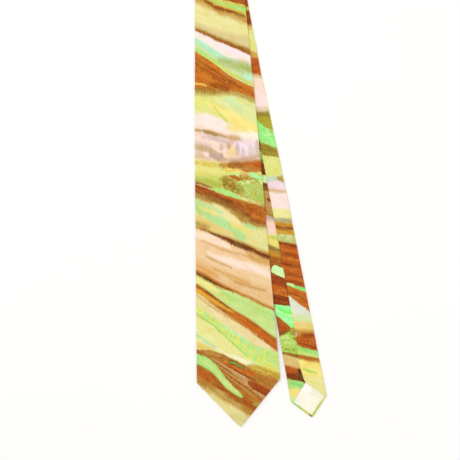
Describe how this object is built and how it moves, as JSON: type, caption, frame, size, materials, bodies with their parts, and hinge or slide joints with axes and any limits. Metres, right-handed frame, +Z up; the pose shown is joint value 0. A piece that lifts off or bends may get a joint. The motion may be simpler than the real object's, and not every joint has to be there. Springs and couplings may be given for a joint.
{
  "type": "necktie",
  "caption": "Wide printed necktie folded in half at the neck, pointed blade over a narrower pointed tail that fans out beside it.",
  "frame": {"origin": "on the table, under the middle of the folded tie's bounding box", "axes": "+Z up from the table, +Y from the two tips towards the neck fold, +X towards the side the tail fans out to"},
  "size_m": [0.1686, 0.6821, 0.0074],
  "materials": {
    "printed_cloth": "smooth polyester twill with a soft sheen, printed with slanting bands of browns, greens, yellow and pale pink",
    "interlining": "brushed wool-blend interlining, matt",
    "tipping": "plain cream acetate lining with a light sheen",
    "sewing_thread": "off-white spun thread",
    "label_ribbon": "white woven ribbon, satin"
  },
  "bodies": {
    "tail_half": {"tail_shell": "printed_cloth", "tail_interlining": "interlining", "tail_tipping": "tipping", "neck_shell_tail_side": "printed_cloth", "tail_slip_stitches": "sewing_thread", "tail_tipping_stitches": "sewing_thread", "tail_seam_stitches": "sewing_thread", "tail_bar_tack": "sewing_thread"},
    "fold_lower": {"neck_fold_lower": "printed_cloth", "fold_interlining_lower": "interlining"},
    "fold_upper": {"neck_fold_upper": "printed_cloth", "fold_interlining_upper": "interlining"},
    "blade_half": {"blade_shell": "printed_cloth", "blade_interlining": "interlining", "blade_tipping": "tipping", "neck_shell_blade_side": "printed_cloth", "blade_slip_stitches": "sewing_thread", "blade_tipping_stitches": "sewing_thread", "blade_seam_stitches": "sewing_thread", "blade_bar_tack": "sewing_thread", "keeper_loop": "printed_cloth", "keeper_tacks": "sewing_thread", "maker_label": "label_ribbon", "maker_label_stitches": "sewing_thread", "slack_thread_loop": "sewing_thread"},
    "care_label_flap": {"care_label": "label_ribbon", "care_label_stitches": "sewing_thread"}
  },
  "joints": [
    {"name": "tail_fan", "type": "hinge", "parent": "fold_lower", "child": "tail_half", "pos_m": [-0.05857, 0.33731, 0], "axis": [0, 0, 1], "range_deg": [0, 11]},
    {"name": "fold_open", "type": "hinge", "parent": "fold_lower", "child": "fold_upper", "pos_m": [-0.05857, 0.33731, 0.0035], "axis": [-0.9932, -0.1167, 0], "range_deg": [0, 180]},
    {"name": "blade_fan", "type": "hinge", "parent": "fold_upper", "child": "blade_half", "pos_m": [-0.05857, 0.33731, 0], "axis": [0, 0, 1], "range_deg": [-11, 0]},
    {"name": "care_label_lift", "type": "hinge", "parent": "tail_half", "child": "care_label_flap", "pos_m": [0.05784, -0.28472, 0.0018], "axis": [-0.8079, 0.5893, 0], "range_deg": [0, 105]}
  ],
  "couplings": [
    {"joint": "tail_fan", "follows": "blade_fan", "ratio": -1}
  ]
}
